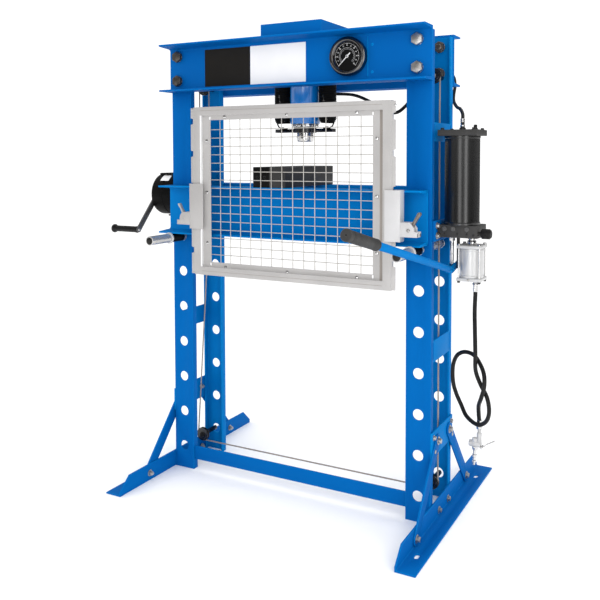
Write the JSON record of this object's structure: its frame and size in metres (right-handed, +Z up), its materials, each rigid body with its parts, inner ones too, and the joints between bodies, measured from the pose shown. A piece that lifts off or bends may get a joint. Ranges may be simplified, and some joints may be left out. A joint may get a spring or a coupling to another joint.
{
  "type": "hydraulic shop press",
  "caption": "Floor-standing H-frame hydraulic press with a pinned, winch-raised bed, air and hand pump, and a sliding wire guard.",
  "frame": {"origin": "on the floor, in the middle of the object's box", "axes": "+X to the pump's side, +Y to the back, +Z up"},
  "size_m": [1.6793, 1.4743, 1.908],
  "materials": {
    "blue_paint": "satin enamel",
    "black_paint": "gloss enamel",
    "grey_casting": "grey paint on casting",
    "bar_steel": "oiled bar",
    "bright_steel": "polished",
    "aluminium": "anodised",
    "wire": "zinc plated",
    "rubber": "smooth",
    "plastic": "moulded",
    "dial": "matt black dial in a black case",
    "needle": "white paint"
  },
  "bodies": {
    "frame": {"post_front_left": "blue_paint", "post_front_right": "blue_paint", "post_rear_left": "blue_paint", "post_rear_right": "blue_paint", "top_beam_front": "blue_paint", "top_beam_rear": "blue_paint", "crown_box": "blue_paint", "side_plate_upper_left": "blue_paint", "side_plate_upper_right": "blue_paint", "side_plate_middle_left": "blue_paint", "side_plate_middle_right": "blue_paint", "side_plate_lower_left": "blue_paint", "side_plate_lower_right": "blue_paint", "brace_front_left": "blue_paint", "brace_front_right": "blue_paint", "brace_rear_left": "blue_paint", "brace_rear_right": "blue_paint", "foot_left": "blue_paint", "foot_right": "blue_paint", "tie_bar": "blue_paint", "cylinder_barrel": "blue_paint", "gauge_case": "dial", "winch_housing": "black_paint", "wire_rope": "wire", "pump_bracket": "blue_paint", "valve_block": "grey_casting", "pump_tank": "black_paint", "air_motor": "aluminium", "oil_hose": "rubber", "air_hose": "rubber", "air_valve_body": "bright_steel"},
    "ram": {"ram": "bright_steel", "spring_yoke": "black_paint", "return_spring_left": "black_paint", "return_spring_right": "black_paint"},
    "bed": {"bed_channel_front": "blue_paint", "bed_channel_rear": "blue_paint", "press_bar_left": "bar_steel", "press_bar_right": "bar_steel", "guide_bracket_left": "aluminium", "guide_bracket_right": "aluminium", "latch_housing_left": "aluminium", "latch_housing_right": "aluminium"},
    "bed_pin_left": {"bed_pin_left": "bright_steel"},
    "bed_pin_right": {"bed_pin_right": "bright_steel"},
    "guard": {"guard_frame": "aluminium", "guard_mesh": "wire"},
    "latch_lever_left": {"latch_lever_left": "aluminium"},
    "latch_lever_right": {"latch_lever_right": "aluminium"},
    "needle": {"gauge_needle": "needle"},
    "crank": {"winch_crank": "grey_casting"},
    "crank_grip": {"crank_grip": "plastic"},
    "lower_pulley_left": {"lower_pulley_left": "black_paint"},
    "lower_pulley_right": {"lower_pulley_right": "black_paint"},
    "upper_pulley_left": {"upper_pulley_left": "black_paint"},
    "upper_pulley_right": {"upper_pulley_right": "black_paint"},
    "release_knob": {"release_knob": "plastic"},
    "pump_lever": {"pump_lever": "blue_paint"},
    "plunger": {"hand_pump_plunger": "bright_steel"},
    "air_valve_lever": {"air_valve_lever": "bright_steel"}
  },
  "joints": [
    {"name": "ram_slide", "type": "slide", "parent": "frame", "child": "ram", "axis": [0, 0, -1], "range_m": [0, 0.1], "stiffness_N_per_m": 3000, "springref_m": -0.25, "deforming": ["return_spring_left", "return_spring_right"]},
    {"name": "bed_slide", "type": "slide", "parent": "frame", "child": "bed", "axis": [0, 0, -1], "range_m": [-0.09, 0]},
    {"name": "bed_pin_left_slide", "type": "slide", "parent": "frame", "child": "bed_pin_left", "axis": [0, -1, 0], "range_m": [0, 0.36]},
    {"name": "bed_pin_right_slide", "type": "slide", "parent": "frame", "child": "bed_pin_right", "axis": [0, -1, 0], "range_m": [0, 0.36]},
    {"name": "guard_slide", "type": "slide", "parent": "bed", "child": "guard", "axis": [0, 0, 1], "range_m": [-0.396, 0.132]},
    {"name": "latch_left_swing", "type": "hinge", "parent": "bed", "child": "latch_lever_left", "pos_m": [-0.39565, -0.00497, 1.1161], "axis": [0, -1, 0], "range_deg": [0, 59], "stiffness_Nm_per_rad": 0.3, "springref_deg": -28.65},
    {"name": "latch_right_swing", "type": "hinge", "parent": "bed", "child": "latch_lever_right", "pos_m": [0.58595, -0.00497, 1.1101], "axis": [0, 1, 0], "range_deg": [0, 59], "stiffness_Nm_per_rad": 0.3, "springref_deg": -28.65},
    {"name": "needle_turn", "type": "hinge", "parent": "frame", "child": "needle", "pos_m": [0.30465, 0.12023, 1.751], "axis": [0, 1, 0], "range_deg": [0, 270], "stiffness_Nm_per_rad": 0.002, "springref_deg": -17.19},
    {"name": "crank_turn", "type": "hinge", "parent": "frame", "child": "crank", "pos_m": [-0.68865, 0.22603, 1.2051], "axis": [1, 0, 0], "range_deg": [-129.4, 0]},
    {"name": "crank_grip_spin", "type": "hinge", "parent": "crank", "child": "crank_grip", "pos_m": [-0.69665, 0.05603, 1.0521], "axis": [-1, 0, 0], "continuous": true},
    {"name": "lower_pulley_left_spin", "type": "hinge", "parent": "frame", "child": "lower_pulley_left", "pos_m": [-0.50635, 0.26603, 0.101], "axis": [0, 1, 0], "range_deg": [0, 202.7]},
    {"name": "lower_pulley_right_spin", "type": "hinge", "parent": "frame", "child": "lower_pulley_right", "pos_m": [0.58365, 0.26603, 0.101], "axis": [0, 1, 0], "range_deg": [0, 202.7]},
    {"name": "upper_pulley_left_spin", "type": "hinge", "parent": "frame", "child": "upper_pulley_left", "pos_m": [-0.50635, 0.29603, 1.679], "axis": [0, 1, 0], "range_deg": [0, 202.7]},
    {"name": "upper_pulley_right_spin", "type": "hinge", "parent": "frame", "child": "upper_pulley_right", "pos_m": [0.58365, 0.26603, 1.679], "axis": [0, 1, 0], "range_deg": [0, 202.7]},
    {"name": "release_knob_turn", "type": "hinge", "parent": "frame", "child": "release_knob", "pos_m": [0.78955, 0.16103, 1.093], "axis": [1, 0, 0], "range_deg": [0, 270]},
    {"name": "pump_lever_swing", "type": "hinge", "parent": "frame", "child": "pump_lever", "pos_m": [0.68075, 0.23103, 0.967], "axis": [-1, 0, 0], "range_deg": [-26, 31]},
    {"name": "plunger_slide", "type": "slide", "parent": "frame", "child": "plunger", "axis": [0, 0, 1], "range_m": [-0.0137, 0.0163]},
    {"name": "air_valve_press", "type": "hinge", "parent": "frame", "child": "air_valve_lever", "pos_m": [0.79265, 0.22303, 0.2897], "axis": [0, -1, 0], "range_deg": [0, 40], "stiffness_Nm_per_rad": 0.1, "springref_deg": -28.65}
  ],
  "couplings": [
    {"joint": "crank_turn", "follows": "bed_slide", "rad_per_m": 25},
    {"joint": "lower_pulley_left_spin", "follows": "bed_slide", "rad_per_m": -39.216},
    {"joint": "lower_pulley_right_spin", "follows": "bed_slide", "rad_per_m": -39.216},
    {"joint": "upper_pulley_left_spin", "follows": "bed_slide", "rad_per_m": -39.216},
    {"joint": "upper_pulley_right_spin", "follows": "bed_slide", "rad_per_m": -39.216},
    {"joint": "plunger_slide", "follows": "pump_lever_swing", "m_per_rad": 0.03}
  ]
}
